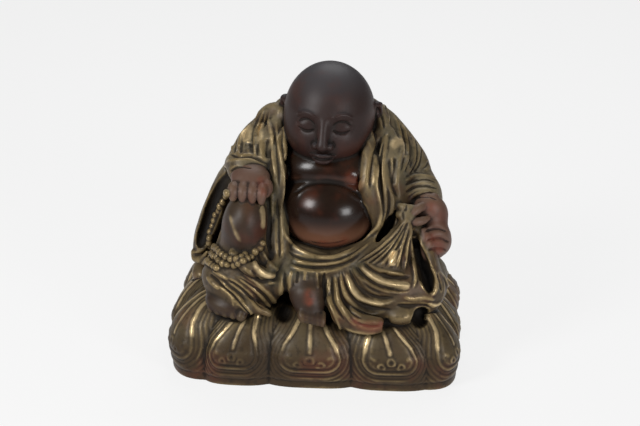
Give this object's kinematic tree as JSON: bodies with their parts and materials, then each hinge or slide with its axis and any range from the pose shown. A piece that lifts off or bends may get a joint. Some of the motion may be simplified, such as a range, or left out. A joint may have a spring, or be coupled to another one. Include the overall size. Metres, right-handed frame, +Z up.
{
  "type": "budai figure",
  "caption": "Seated figure of a monk with a bare belly, open robe and bead string, one knee raised, cast in one with a lotus-petal base; a shelf ornament that stands on its flat underside",
  "frame": {"origin": "middle of the flat underside's bounding box", "axes": "+X to the right of the picture (the figure's own left), +Y to the figure's back, +Z up; the figure faces -Y"},
  "size_m": [0.172, 0.1492, 0.1729],
  "materials": {
    "patinated_bronze": "dark brown patina, polished on the bare skin, with rubbed gold on the raised folds and petals"
  },
  "bodies": {
    "root": {"budai_on_lotus_base": "patinated_bronze"}
  },
  "joints": []
}
